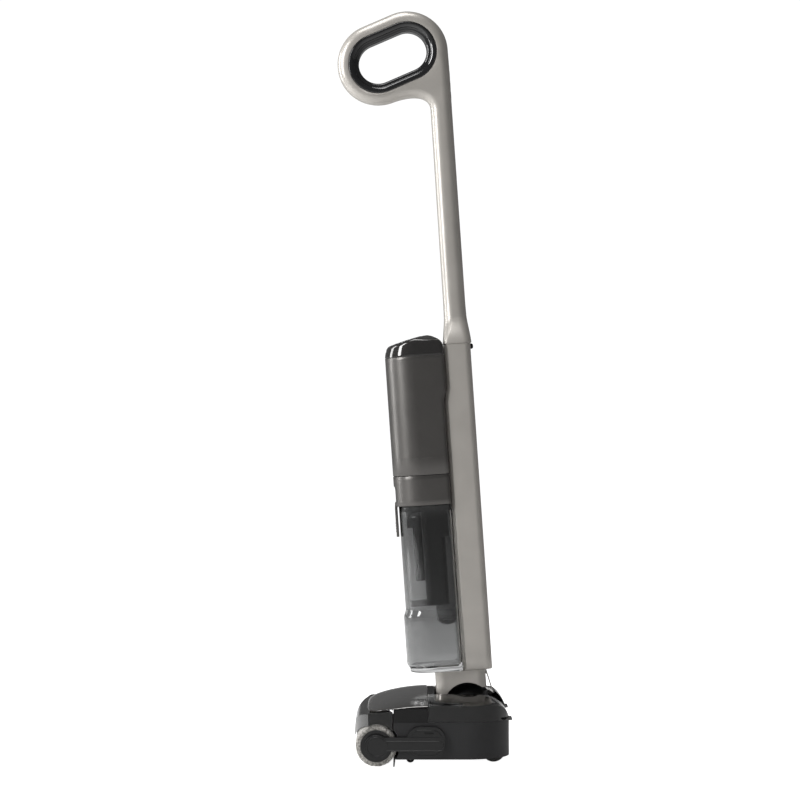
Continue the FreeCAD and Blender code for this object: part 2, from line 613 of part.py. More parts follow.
def handle():
    def outlines(inset):
        """The flare's three outlines, from the column's top to the tube."""
        corner = size("tube_corner")
        whole = ((size("column_half"), 0.4, 42.4, corner - 1), (24, 3.0, 40.2, corner),
                 (size("tube_half"), size("tube_front"), size("tube_rear"), corner))
        return [rounded_box(-half + inset, half - inset, front + inset, rear - inset, corner - inset)
                for half, front, rear, corner in whole]

    heights = ("column_top + 0.2", "column_top + 20.2", "tube_low")
    outside, inside = outlines(0), outlines(size("skin"))
    flare = loft("flare", *zip(outside, heights))
    flare_in = loft("flare_in", *zip(inside, heights))
    pole = prism("pole", "XY", outside[-1], ("tube_low", "tube_top"))
    pole_in = prism("pole_in", "XY", inside[-1], ("tube_low", "tube_top"))
    on_column("handle_stem", cut("stem", fuse("stem_solid", flare, pole),
                                 fuse("stem_space", flare_in, pole_in)))
    low_centre, high_centre = (-67.0, 951.5), (-23.0, 967.0)

    def loop(inset):
        radius = size("loop_radius") - inset
        dx, dy = high_centre[0] - low_centre[0], high_centre[1] - low_centre[1]
        length = math.hypot(dx, dy)
        nx, ny = -dy / length, dx / length
        top_left = (low_centre[0] + radius * nx, low_centre[1] + radius * ny)
        top_right = (high_centre[0] + radius * nx, high_centre[1] + radius * ny)
        rear = (high_centre[0] + radius, high_centre[1])
        beyond = arc_mid(*high_centre, radius, 55)
        nose = arc_mid(*low_centre, radius, 192)
        under = arc_mid(*low_centre, radius, 287)
        return [(37.4 - inset, 880), (37.4 - inset, 940), rear, (*top_right, *beyond), top_left,
                (*under, *nose), (-12, 898.0 + inset),
                (5.6 + inset, 880, 0.8 + 0.6 * inset, 893.0 + 0.6 * inset)]

    hole = stadium(low_centre, high_centre, size("ring_radius") + 0.02)
    wall = stadium(low_centre, high_centre, size("ring_radius") + 2.5)
    for side, sign in (("left", 1), ("right", -1)):
        span = (0, "loop_half") if sign > 0 else ("-loop_half", 0)
        hollow = (0, "loop_half - skin") if sign > 0 else ("-loop_half + skin", 0)
        outer = prism("loop_outside", "YZ", loop(0), span)
        space = cut("loop_space", prism("loop_inside", "YZ", loop(2.5), hollow),
                    prism("loop_web", "YZ", wall, (-20, 20)))
        middle = prism("loop_hole", "YZ", hole, (-20, 20))
        keys = [rod("loop_key", "y", 5.3, (25, 45), 0, height) for height in (898, 914, 930)]
        on_column("handle_shell_" + side, cut("loop", outer, space, middle, *keys))
    ring = prism("ring_outside", "YZ", stadium(low_centre, high_centre, size("ring_radius")),
                 ("-ring_half", "ring_half"))
    finger = prism("ring_hole", "YZ", stadium(low_centre, high_centre, size("finger_radius")),
                   (-20, 20))
    groove = cut("ring_groove",
                 prism("groove_outside", "YZ", stadium(low_centre, high_centre, 50), (-13, 13)),
                 prism("groove_inside", "YZ", stadium(low_centre, high_centre, 31.5), (-14, 14)))
    on_column("grip_ring", cut("ring", ring, finger, groove))
    for name, height in (("clean_button", 898), ("mode_button", 914), ("power_button", 930)):
        on_column(name, rod("key", "y", 5.0, (32.5, 37.9), 0, height))


# ---------------------------------------------------------------- motor unit
def motor_unit():
    low, high = "unit_low", "unit_high"
    outer = prism("unit_outside", "XY", bullet("unit"), (low, high))
    ear = block("unit_ear", (-36, 36), (-6, 0.9), ("unit_step + 0.3", high))
    inner = prism("unit_inside", "XY", bullet("unit", size("skin")), ("unit_low + 3", high))
    intake = rod("unit_intake", "z", 16, (330, 360), 0, "unit_centre")
    on_column("motor_housing", cut("unit", fuse("unit_solid", outer, ear), inner, intake))
    side = [(-86.5, 517.7), (-82.6, 534.5, -85.6, 527.5), (-20.6, 549.5), (0.1, 536.8), (0.1, 517.7)]
    cap = common("cap_body", prism("cap_side", "YZ", side, (-45, 45)),
                 prism("cap_plan", "XY", bullet("unit", 0, "cap_rear"), (500, 560)))
    space = prism("cap_space", "XY", bullet("unit", size("lid_wall")), (510, 529))
    slope = FreeCAD.Rotation(V(1, 0, 0), math.degrees(math.atan2(15.0, 62.0)))
    seat = rod("cap_seat", "z", 20, (0, 12), 0, 0)
    lens = rod("lens", "z", 19.8, (0, 2), 0, 0)
    for disc in (seat, lens):
        disc.Placement = FreeCAD.Placement(V(), slope)
        locate(disc, 0, -51.1, 540.1)
    on_column("top_cap", cut("cap_cut", cap, space, seat))
    on_column("display_lens", lens)
    motor = fuse("motor_body", rod("motor_drum", "z", 31, (384, 440), 0, "unit_centre"),
                 rod("motor_neck", "z", 20, (440, 452), 0, "unit_centre"))
    flange = rod("motor_flange", "z", 36.8, (395, 401), 0, "unit_centre")
    bore = rod("motor_bore", "z", 4.05, (430, 460), 0, "unit_centre")
    on_column("suction_motor", cut("motor_cut", fuse("motor_solid", motor, flange), bore))
    blades = [block("fan_blade", (5, 29), (-0.8, 0.8), (456, "fan_high")) for _ in range(9)]
    for number, blade in enumerate(blades):
        angle = FreeCAD.Rotation(V(0, 0, 1), 40 * number)
        corner = angle.multVec(V(5, -0.8, 0))
        blade.Placement = FreeCAD.Placement(V(corner.x, corner.y + size("unit_centre"), 456), angle)
        blade.setExpression(".Placement.Base.x", None)
        blade.setExpression(".Placement.Base.y", None)
    hub = rod("fan_hub", "z", 8, ("fan_low", "fan_high"), 0, "unit_centre")
    plate = rod("fan_plate", "z", 30, ("fan_low", 456), 0, "unit_centre")
    shaft = rod("fan_shaft", "z", 4.0, (432, "fan_low"), 0, "unit_centre")
    on_column("fan_rotor", fuse("fan", hub, plate, shaft, *blades))
    on_column("hepa_filter", tube("filter", "z", 35, 12, (470, 505), 0, "unit_centre"))


# ---------------------------------------------------------------- dirty water tank
def dirty_tank():
    low, high = "jar_low", "jar_high"
    belly = prism("jar_belly", "XY", bullet("belly", 0, "jar_rear"), ("belly_low", "belly_high"))
    outer = prism("jar_outside", "XY", bullet("jar"), (low, high))
    inner = prism("jar_inside", "XY", bullet("jar", size("jar_skin")),
                  ("jar_low + 6", "jar_high + 1"))
    port = rod("jar_port", "y", 10, (-10, 0), 0, "inlet_up")
    on_column("dirty_tank", cut("jar", fuse("jar_solid", outer, belly), inner, port))

    lid_body = prism("lid_outside", "XY", bullet("unit", 0, "jar_rear"), ("lid_low", "lid_high"))
    space = prism("lid_space", "XY", bullet("unit", size("lid_wall"), "jar_rear"),
                  ("lid_low - 1", "lid_high - 4"))
    notch = block("lid_notch", (-12.4, 12.4), (-90, -80.8), ("lid_low - 1", 328))
    vent = rod("lid_vent", "z", 15, (330, 350), 0, "unit_centre")
    inset = block("lid_backing", (-15.5, 15.5), (-83.8, -78.0), ("lid_low + 0.2", 332))
    open_lid = cut("lid", fuse("lid_solid", cut("lid_hollow", lid_body, space), inset), notch, vent)
    pin = rod("latch_rod", "x", 1.2, (-13.5, 13.5), "latch_back", "latch_up")
    on_column("tank_lid", fuse("lid_with_pin", open_lid, pin))
    seal_out = prism("seal_out", "XY", bullet("jar", size("jar_skin") + 0.1), (290, "jar_high"))
    seal_in = prism("seal_in", "XY", bullet("jar", size("jar_skin") + 2.6), (280, 300))
    on_column("lid_seal", cut("seal", seal_out, seal_in))

    pin_hole = rod("latch_hole", "x", 1.25, (-20, 20), "latch_back", "latch_up")
    tab = prism("latch_tab", "YZ", [(-87.2, 253.5), (-82.6, 253.5), (-82.6, 297), (-81.2, 301),
                                    (-81.3, 307), (-84.4, 307), (-86.4, 304)], (-11, 11))
    on_column("lid_latch", cut("latch", tab, pin_hole))

    separator()


def separator():
    """What hangs inside the tank: the black separator, its float, the guide and the inlet duct."""
    body = prism("separator_body", "XY", rounded_box(-20, 20, -49, -16.2, 8), (150.4, "separator_high"))
    head = block("separator_head", (-20, 20), (-26, -8.5), (250.4, "separator_high"))
    core = prism("separator_core", "XY", rounded_box(-17, 17, -46, -19.2, 6), (153, 300))
    on_column("separator", cut("separator_cut", fuse("separator_solid", body, head), core))
    disc = rod("guide_disc", "z", 11, (149.5, 159), 0, -62.6)
    arm = block("guide_arm", (-7, 7), (-60, -49), (149.5, 159))
    pipe = rod("guide_tube", "z", 6.9, ("guide_low", "separator_high"), 0, "guide_back")
    stub = block("guide_stub", (-9, 9), (-70.5, -57), (266, "separator_high"))
    bore = rod("guide_bore", "z", 5.2, (180, 262), 0, "guide_back")
    on_column("float_guide", cut("guide", fuse("guide_solid", disc, arm, pipe, stub), bore))
    on_column("float", rod("float_body", "z", 9, (153.3, 172), 0, -32.6))
    cup = common("cup_body", rod("cup_round", "z", 16, (119.5, 148), 0, "inlet_back"),
                 block("cup_half", (-17, 17), (-37, -5.8), (119, 148)),
                 bead("cup_bottom", "cup_bowl", (0, "inlet_back", "cup_centre")))
    duct = block("cup_duct", (-14, 14), (-15.8, -5.8), (146, 250))
    hollow = common("cup_space", rod("cup_drum", "z", 13.6, (120, 150), 0, "inlet_back - 0.6"),
                    bead("cup_dish", "cup_bowl - 2.4", (0, "inlet_back - 0.6", "cup_centre")))
    inside = block("duct_space", (-12.4, 12.4), (-14.2, -7.4), (140, 252))
    gate = rod("cup_port", "y", 9, (-20, 0), 0, "inlet_up")
    on_column("inlet_cup", cut("cup", fuse("cup_solid", cup, duct), hollow, inside, gate))


# ---------------------------------------------------------------- build, check and write
def build():
    base_housing()
    roller_hood()
    visor()
    roller_window()
    roller()
    drive()
    head_inside()
    neck_seat()
    wheels()
    clean_tank()
    neck()
    column()
    handle()
    motor_unit()
    dirty_tank()


def check():
    doc.recompute()
    for thing in doc.Objects:
        if "Invalid" in thing.State or "Error" in thing.State:
            raise RuntimeError(f"{thing.Name} failed: {thing.State}")
    for thing in SUBPARTS:
        shape = thing.Shape
        if shape.isNull() or not shape.isValid() or not shape.Solids:
            raise RuntimeError(f"{thing.Label} has no valid solid")


def write():
    os.makedirs("parts", exist_ok=True)
    for thing in SUBPARTS:
        thing.Shape.exportStep(f"parts/{thing.Label}.step")
        print(f"{thing.Label:22s} {len(thing.Shape.Solids)} solid(s) {thing.Shape.Volume / 1000:9.2f} cm3")
    print(len(SUBPARTS), "sub-parts")


build()
check()
write()
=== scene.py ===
"""Looks of the wet dry floor scrubber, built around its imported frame.

Two local frames are used, both in millimetres. Head pieces lie in the row frame. Column pieces
are written in the column's own axes: x to the side, t towards the rear and v up the column, from
the centre of the neck ball.
"""
import json
import math
import random

import bmesh
import bpy
from mathutils import Matrix, Vector, noise


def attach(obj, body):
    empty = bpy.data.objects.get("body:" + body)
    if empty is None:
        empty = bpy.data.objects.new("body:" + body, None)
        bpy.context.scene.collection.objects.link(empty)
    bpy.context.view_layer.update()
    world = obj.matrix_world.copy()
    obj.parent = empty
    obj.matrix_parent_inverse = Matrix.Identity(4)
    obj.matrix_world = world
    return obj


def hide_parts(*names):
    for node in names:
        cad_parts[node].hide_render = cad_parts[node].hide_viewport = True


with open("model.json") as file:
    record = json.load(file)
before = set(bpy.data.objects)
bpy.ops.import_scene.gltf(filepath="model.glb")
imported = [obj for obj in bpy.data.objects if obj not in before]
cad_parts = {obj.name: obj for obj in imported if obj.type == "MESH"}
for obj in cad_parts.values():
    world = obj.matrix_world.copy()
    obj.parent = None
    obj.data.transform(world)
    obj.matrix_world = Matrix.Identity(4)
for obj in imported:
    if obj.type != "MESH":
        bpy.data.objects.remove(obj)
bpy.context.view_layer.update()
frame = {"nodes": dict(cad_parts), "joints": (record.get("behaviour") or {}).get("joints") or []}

MM = 0.001
NODES = frame["nodes"]


# ---------------------------------------------------------------- frames
def joint(name):
    return next(j for j in frame["joints"] if j["name"] == name)


def axes(origin, x, y, z):
    """A millimetre frame at origin, in metres, with these three directions."""
    turn = Matrix((x, y, z)).transposed().to_4x4()
    return Matrix.Translation(origin) @ turn @ Matrix.Scale(MM, 4)


SIDE = Vector((1, 0, 0))
SWIVEL = joint("neck_swivel")
REARWARD = Vector(SWIVEL["axis"]).normalized()
COLUMN = axes(Vector(SWIVEL["pos_m"]), SIDE, REARWARD, SIDE.cross(REARWARD))
ROW = Matrix.Scale(MM, 4)


# ---------------------------------------------------------------- materials
def new_material(name):
    """A material with its Principled node, and object coordinates to drive its texture."""
    made = bpy.data.materials.new(name)
    made.use_nodes = True
    nodes, links = made.node_tree.nodes, made.node_tree.links
    shader = nodes["Principled BSDF"]
    where = nodes.new("ShaderNodeTexCoord").outputs["Object"]
    return made, nodes, links, shader, where


def cloud(nodes, links, where, scale, detail=2.0):
    """Noise at this many features to the metre."""
    texture = nodes.new("ShaderNodeTexNoise")
    texture.inputs["Scale"].default_value = scale
    texture.inputs["Detail"].default_value = detail
    links.new(where, texture.inputs["Vector"])
    return texture.outputs["Fac"]


def ramp(nodes, links, value, stops):
    """A colour ramp with (place, colour) stops."""
    band = nodes.new("ShaderNodeValToRGB")
    links.new(value, band.inputs["Fac"])
    elements = band.color_ramp.elements
    while len(elements) < len(stops):
        elements.new(0.5)
    for element, (place, colour) in zip(elements, stops):
        element.position = place
        element.color = (*colour, 1)
    return band.outputs["Color"]


def tint(colour, factor):
    return tuple(min(1.0, c * factor) for c in colour)


def finish_material(name, colour, roughness, metallic=0.0, coat=0.0, grain=0.0, grain_scale=1600,
                    variation=0.05, spread=0.05, specular=0.5):
    """Moulded or painted stock: drifting colour, uneven polish and a fine moulded grain."""
    made, nodes, links, shader, where = new_material(name)
    drift = cloud(nodes, links, where, 22, 4)
    stops = [(0.3, tint(colour, 1 - variation)), (0.7, tint(colour, 1 + variation))]
    links.new(ramp(nodes, links, drift, stops), shader.inputs["Base Color"])
    polish = nodes.new("ShaderNodeMapRange")
    polish.inputs["To Min"].default_value = max(0.02, roughness - spread)
    polish.inputs["To Max"].default_value = roughness + spread
    links.new(cloud(nodes, links, where, 55, 5), polish.inputs["Value"])
    links.new(polish.outputs["Result"], shader.inputs["Roughness"])
    shader.inputs["Metallic"].default_value = metallic
    shader.inputs["Coat Weight"].default_value = coat
    shader.inputs["Coat Roughness"].default_value = 0.08
    shader.inputs["Specular IOR Level"].default_value = specular
    if grain:
        bump = nodes.new("ShaderNodeBump")
        bump.inputs["Strength"].default_value = grain
        bump.inputs["Distance"].default_value = 0.00012
        links.new(cloud(nodes, links, where, grain_scale, 3), bump.inputs["Height"])
        links.new(bump.outputs["Normal"], shader.inputs["Normal"])
    return made


def glass_material(name, colour, roughness=0.02, transmission=1.0, ior=1.46, variation=0.03):
    """Moulded clear or smoky plastic, with faint wipe marks in its polish."""
    made, nodes, links, shader, where = new_material(name)
    links.new(ramp(nodes, links, cloud(nodes, links, where, 18, 3),
                   [(0.35, tint(colour, 1 - variation)), (0.65, colour)]), shader.inputs["Base Color"])
    polish = nodes.new("ShaderNodeMapRange")
    polish.inputs["To Min"].default_value = roughness
    polish.inputs["To Max"].default_value = roughness + 0.05
    links.new(cloud(nodes, links, where, 90, 6), polish.inputs["Value"])
    links.new(polish.outputs["Result"], shader.inputs["Roughness"])
    shader.inputs["Transmission Weight"].default_value = transmission
    shader.inputs["IOR"].default_value = ior
    return made


def banded_glass(name, low_colour, high_colour, low, high):
    """Smoky plastic that is dark up to the height low and lighter from high, in metres."""
    made = glass_material(name, high_colour, roughness=0.03)
    nodes, links = made.node_tree.nodes, made.node_tree.links
    shader = nodes["Principled BSDF"]
    split = nodes.new("ShaderNodeSeparateXYZ")
    links.new(nodes.new("ShaderNodeTexCoord").outputs["Object"], split.inputs["Vector"])
    band = nodes.new("ShaderNodeMapRange")
    band.inputs["From Min"].default_value = low
    band.inputs["From Max"].default_value = high
    links.new(split.outputs["Z"], band.inputs["Value"])
    links.new(ramp(nodes, links, band.outputs["Result"], [(0.0, low_colour), (1.0, high_colour)]),
              shader.inputs["Base Color"])
    return made


def fleece_material(name, dark, light):
    made, nodes, links, shader, where = new_material(name)
    speckle = cloud(nodes, links, where, 420, 4)
    links.new(ramp(nodes, links, speckle, [(0.36, dark), (0.62, light)]), shader.inputs["Base Color"])
    shader.inputs["Roughness"].default_value = 0.95
    shader.inputs["Sheen Weight"].default_value = 0.5
    bump = nodes.new("ShaderNodeBump")
    bump.inputs["Strength"].default_value = 0.7
    bump.inputs["Distance"].default_value = 0.0005
    links.new(cloud(nodes, links, where, 900, 3), bump.inputs["Height"])
    links.new(bump.outputs["Normal"], shader.inputs["Normal"])
    return made


def rubbed_material(name, colour, roughness, scale):
    """Paper, rubber or cast stock with a coarser grain than moulded plastic."""
    return finish_material(name, colour, roughness, grain=0.9, grain_scale=scale, variation=0.16, spread=0.1)


SILVER = finish_material("silver_paint", (0.50, 0.475, 0.44), 0.34, metallic=0.35, coat=0.12,
                         grain=0.10, grain_scale=3200)
NECK_SILVER = finish_material("neck_paint", (0.50, 0.475, 0.44), 0.30, metallic=0.3, coat=0.15,
                              grain=0.08, grain_scale=3000)
GUNMETAL = finish_material("gunmetal_paint", (0.115, 0.11, 0.105), 0.36, metallic=0.75, coat=0.05,
                           grain=0.12, grain_scale=2600)
GLOSS = finish_material("piano_black", (0.012, 0.012, 0.013), 0.07, coat=0.7, spread=0.02, variation=0.2)
CAP_GLOSS = finish_material("cap_lacquer", (0.045, 0.043, 0.042), 0.10, metallic=0.45, coat=0.7, spread=0.03)
VISOR_GLOSS = finish_material("visor_lacquer", (0.20, 0.195, 0.19), 0.16, metallic=0.8, coat=0.5, grain=0.05)
CHARCOAL = finish_material("charcoal_shell", (0.024, 0.024, 0.025), 0.46, specular=0.32,
                           grain=0.5, grain_scale=1500, variation=0.1)
BLACK = finish_material("black_moulding", (0.008, 0.008, 0.008), 0.42, specular=0.3,
                        grain=0.5, grain_scale=1300, variation=0.15)
BLACK_SATIN = finish_material("black_satin", (0.009, 0.009, 0.0092), 0.30, specular=0.3,
                              coat=0.2, grain=0.2, variation=0.12)
CLEAR = glass_material("clear_wall", (0.58, 0.585, 0.585))
SMOKY = banded_glass("smoky_wall", (0.055, 0.054, 0.053), (0.50, 0.49, 0.48), 0.085, 0.089)
SMOKY_WINDOW = glass_material("smoky_window", (0.06, 0.058, 0.056), roughness=0.05)
CUP_GREY = glass_material("translucent_grey", (0.32, 0.32, 0.32), roughness=0.22, transmission=0.75)
TUBE_GREY = glass_material("translucent_dark", (0.10, 0.10, 0.10), roughness=0.18, transmission=0.7)
FLEECE = fleece_material("fleece_pile", (0.20, 0.19, 0.175), (0.62, 0.60, 0.565))
PAPER = rubbed_material("filter_paper", (0.62, 0.61, 0.57), 0.85, 700)
RUBBER = rubbed_material("black_rubber", (0.014, 0.014, 0.014), 0.6, 1200)
TYRE = rubbed_material("grey_tyre", (0.085, 0.083, 0.08), 0.62, 1100)
STEEL = finish_material("turned_steel", (0.5, 0.5, 0.5), 0.26, metallic=1.0, grain=0.25, grain_scale=900)
ALLOY = finish_material("cast_alloy", (0.30, 0.30, 0.31), 0.42, metallic=0.9, grain=0.6, grain_scale=800)
CELL = finish_material("cell_wrap", (0.20, 0.28, 0.34), 0.3, metallic=0.2, coat=0.3)
BRASS = finish_material("contact_brass", (0.62, 0.46, 0.2), 0.22, metallic=1.0, grain=0.15)
BOARD = finish_material("board_laminate", (0.02, 0.11, 0.05), 0.35, coat=0.3, grain=0.4, grain_scale=500)
LENS = finish_material("lens_black", (0.006, 0.007, 0.009), 0.04, coat=1.0, spread=0.01, variation=0.3)

CARRIED = {
    "base_housing": CHARCOAL, "charge_contacts": BRASS, "roller_hood": BLACK, "drive_cover": BLACK_SATIN,
    "drive_belt": RUBBER, "roller_arm": BLACK_SATIN, "roller_motor": STEEL, "squeegee": RUBBER,
    "suction_duct": BLACK, "water_pump": BLACK, "spray_bar": BLACK, "deck_plate": BLACK,
    "pivot_bracket": BLACK_SATIN, "wheel_axles": STEEL, "roller_core": BLACK, "roller_cap_left": BLACK_SATIN,
    "roller_cap_right": BLACK_SATIN, "motor_pulley": STEEL, "clean_tank": SMOKY, "tank_cap": BLACK,
    "neck_ball": BLACK_SATIN, "neck_hose": RUBBER, "neck_shell": NECK_SILVER, "swivel_pin": STEEL,
    "hose_guard": NECK_SILVER, "column_front": CHARCOAL, "suction_riser": BLACK, "battery_case": BLACK,
    "battery_cells": CELL, "control_board": BOARD, "suction_motor": ALLOY, "fan_rotor": ALLOY,
    "hepa_filter": PAPER, "lid_seal": RUBBER, "separator": BLACK, "float_guide": TUBE_GREY,
    "inlet_cup": CUP_GREY, "float": NECK_SILVER, "roller_window": SMOKY_WINDOW,
}


def dress_frame():
    """Give every carried-over CAD node its own finish in place of the plain one."""
    for name, material in CARRIED.items():
        mesh = NODES[name].data
        mesh.materials.clear()
        mesh.materials.append(material)


# ---------------------------------------------------------------- mesh tools
def spread(start, stop, steps):
    return [start + (stop - start) * i / steps for i in range(steps + 1)]


def ease(value, low, high):
    """0 at low, 1 at high and smooth between."""
    share = min(1.0, max(0.0, (value - low) / (high - low)))
    return share * share * (3 - 2 * share)


def corner(x, y, radius, start, stop, steps):
    """Points along an arc, in degrees."""
    return [(x + radius * math.cos(math.radians(a)), y + radius * math.sin(math.radians(a)))
            for a in spread(start, stop, steps)]


def piece(name, points, faces, place, material, body, replaced=(), angle=36):
    """A finished piece: a mesh in its local frame, its finish, the body it rides and what it replaces."""
    mesh = bpy.data.meshes.new(name)
    mesh.from_pydata([place @ Vector(p) for p in points], [], faces)
    work = bmesh.new()
    work.from_mesh(mesh)
    bmesh.ops.remove_doubles(work, verts=work.verts, dist=2e-6)
    bmesh.ops.recalc_face_normals(work, faces=work.faces)
    work.to_mesh(mesh)
    work.free()
    mesh.polygons.foreach_set("use_smooth", [True] * len(mesh.polygons))
    mesh.set_sharp_from_angle(angle=math.radians(angle))
    mesh.materials.append(material)
    made = bpy.data.objects.new(name, mesh)
    bpy.context.scene.collection.objects.link(made)
    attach(made, body)
    if replaced:
        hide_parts(*replaced)
    return made


def skin(rings, closed=False, caps=(True, True), start=0):
    """Faces between rings of equal length; closed joins the last ring to the first."""
    count = len(rings[0])
    faces = []
    for ring in range(len(rings) if closed else len(rings) - 1):
        a = start + ring * count
        b = start + ((ring + 1) % len(rings)) * count
        faces += [(a + i, a + (i + 1) % count, b + (i + 1) % count, b + i) for i in range(count)]
    if not closed and caps[0]:
        faces.append(tuple(range(start, start + count)))
    if not closed and caps[1]:
        last = start + (len(rings) - 1) * count
        faces.append(tuple(range(last, last + count)))
    return faces


def loft(name, rings, place, material, body, replaced=(), closed=False, caps=(True, True), angle=36):
    points = [p for ring in rings for p in ring]
    return piece(name, points, skin(rings, closed, caps), place, material, body, replaced, angle)


def level(outline, height):
    return [(x, y, height) for x, y in outline]


def sideways(outline, x):
    """An outline in t and v, set at x."""
    return [(x, t, v) for t, v in outline]


def section(half, front, rear, front_radius, rear_radius, front_steps=8, steps=8):
    """A rounded box around the column's axis."""
    f, r = front_radius, rear_radius
    return (corner(half - f, front + f, f, -90, 0, front_steps)
            + corner(half - r, rear - r, r, 0, 90, steps)
            + corner(r - half, rear - r, r, 90, 180, steps)
            + corner(f - half, front + f, f, 180, 270, front_steps))


def bullet(half, front, rear, rear_radius=4.0):
    """A half-round front with flat sides."""
    r = rear_radius
    return (corner(0, front + half, half, 180, 360, 56) + corner(half - r, rear - r, r, 0, 90, 6)
            + corner(r - half, rear - r, r, 90, 180, 6))


def stadium(a, b, radius, steps=30):
    """Two equal arcs around a and b."""
    along = math.degrees(math.atan2(b[1] - a[1], b[0] - a[0]))
    return (corner(*b, radius, along - 90, along + 90, steps)
            + corner(*a, radius, along + 90, along + 270, steps))


def flipped(profile):
    """The other half of a profile of (radius, height), in reverse order."""
    return [(radius, -height) for radius, height in reversed(profile)]


def lathe(name, profile, centre, place, material, body, replaced=(), along="x", steps=72, angle=36):
    """A closed profile of (radius, height) turned about an axis through centre."""
    rings = []
    for radius, height in profile:
        ring = []
        for i in range(steps):
            a = 2 * math.pi * i / steps
            u, w = radius * math.cos(a), radius * math.sin(a)
            offset = {"x": (height, u, w), "y": (u, height, w), "z": (u, w, height)}[along]
            ring.append(tuple(c + o for c, o in zip(centre, offset)))
        rings.append(ring)
    return loft(name, rings, place, material, body, replaced, closed=True, angle=angle)


def carve(target, *cutters):
    """Cut closed helper meshes out of a piece and keep the result as its mesh."""
    for cutter in cutters:
        modifier = target.modifiers.new("cut", "BOOLEAN")
        modifier.operation = "DIFFERENCE"
        modifier.solver = "EXACT"
        modifier.object = cutter
    bpy.context.view_layer.update()
    result = bpy.data.meshes.new_from_object(target.evaluated_get(bpy.context.evaluated_depsgraph_get()))
    target.modifiers.clear()
    target.data = result
    result.polygons.foreach_set("use_smooth", [True] * len(result.polygons))
    result.set_sharp_from_angle(angle=math.radians(36))
    for cutter in cutters:
        bpy.data.objects.remove(cutter)
    return target


def cutter(rings, place):
    """A closed helper solid for carve."""
    mesh = bpy.data.meshes.new("cutter")
    mesh.from_pydata([place @ Vector(p) for ring in rings for p in ring], [], skin(rings))
    work = bmesh.new()
    work.from_mesh(mesh)
    bmesh.ops.recalc_face_normals(work, faces=work.faces)
    work.to_mesh(mesh)
    work.free()
    made = bpy.data.objects.new("cutter", mesh)
    bpy.context.scene.collection.objects.link(made)
    return made


# ---------------------------------------------------------------- column
COLUMN_HALF, COLUMN_REAR, COLUMN_FRONT = 37.0, 40.0, -3.0
COLUMN_LOW, COLUMN_TOP, STEP_UP = 53.5, 531.7, 462.0
POLE_HALF, POLE_RADIUS, POLE_TOP = 15.0, 14.0, 880.0
POLE_FRONT, POLE_REAR = 5.6, 37.4


def column_casing():
    """The silver casing: flat sides, a chamfer along each front edge and rounded rear corners."""
    def outline(inset, front):
        chamfer, rear_radius = 5.0, 10 - inset
        return section(COLUMN_HALF - inset, front + inset, COLUMN_REAR - inset, chamfer, rear_radius,
                       front_steps=1)

    step = 4.2
    rings = []
    for height, inset in ((COLUMN_LOW, 1.0), (COLUMN_LOW + 0.3, 0.4), (COLUMN_LOW + 1.0, 0.0)):
        rings.append(level(outline(inset, COLUMN_FRONT), height))
    for height in spread(COLUMN_LOW + 20, COLUMN_TOP - 6, 46):
        front = COLUMN_FRONT + step * ease(height, STEP_UP - 10, STEP_UP + 2)
        rings.append(level(outline(0, front), height))
    for drop, inset in ((0.8, 0), (0.3, 0.2), (0, 0.7)):
        rings.append(level(outline(inset, COLUMN_FRONT + step), COLUMN_TOP - drop))
    loft("column_casing", rings, COLUMN, SILVER, "column", ["column_shell"])


def handle_pole():
    """The flare above the casing and the slim pole up to the loop."""
    flare_low, flare_high = 532.0, 572.0
    rings = []
    heights = spread(flare_low + 0.9, flare_high, 16) + spread(flare_high + 20, POLE_TOP, 14)
    shapes = [(flare_low, 0.8), (flare_low + 0.35, 0.25)] + [(height, 0.0) for height in heights]
    for height, inset in shapes:
        share = ease(height, flare_low - 6, flare_high + 10)
        rise = ease(height, flare_high, POLE_TOP)
        half = COLUMN_HALF + (POLE_HALF - COLUMN_HALF) * share - inset
        front = 0.6 + (4.8 - 0.6) * share + (POLE_FRONT - 4.8) * rise + inset
        rear = 42.2 + (37.5 - 42.2) * share + (POLE_REAR - 37.5) * rise - inset
        front_radius = 6.5 + (POLE_RADIUS - 6.5) * ease(height, flare_low, flare_high - 4)
        rear_radius = 12.5 + (POLE_RADIUS - 12.5) * share
        rings.append(level(section(half, front, rear, front_radius, rear_radius), height))
    loft("handle_pole", rings, COLUMN, SILVER, "column", ["handle_stem"], caps=(True, False))


LOOP_LOW, LOOP_HIGH = (-67.0, 951.5), (-23.0, 967.0)
LOOP_RADIUS, HOLE_RADIUS, LOOP_HALF = 60.0, 43.7, 17.0


def loop_path():
    """The loop's outline in t and v, from the pole's rear edge over the top to its front edge."""
    rise = math.degrees(math.atan2(LOOP_HIGH[1] - LOOP_LOW[1], LOOP_HIGH[0] - LOOP_LOW[0])) + 90
    last = 287.0
    path = [(POLE_REAR, v) for v in spread(POLE_TOP, 940, 12)]
    path += corner(*LOOP_HIGH, LOOP_RADIUS, 0, rise, 40)
    path += corner(*LOOP_LOW, LOOP_RADIUS, rise, last, 60)
    start = Vector(path[-1])
    heading = Vector((-math.sin(math.radians(last)), math.cos(math.radians(last))))
    end = Vector((POLE_FRONT, POLE_TOP))
    a, b = start + heading * 30, end + Vector((0, 20))
    for share in spread(0, 1, 26)[1:]:
        rest = 1 - share
        point = start * rest ** 3 + a * 3 * rest ** 2 * share + b * 3 * rest * share ** 2 + end * share ** 3
        path.append(tuple(point))
    return [Vector(p) for p in path]


def inward(path):
    """The direction from each point of the outline into the loop's wall."""
    normals = []
    for i in range(len(path)):
        along = path[min(i + 1, len(path) - 1)] - path[max(i - 1, 0)]
        normals.append(Vector((-along.y, along.x)).normalized())
    normals[0], normals[-1] = Vector((-1, 0)), Vector((1, 0))
    return normals


def half_width(v):
    return POLE_HALF + (LOOP_HALF - POLE_HALF) * ease(v, POLE_TOP, POLE_TOP + 34)


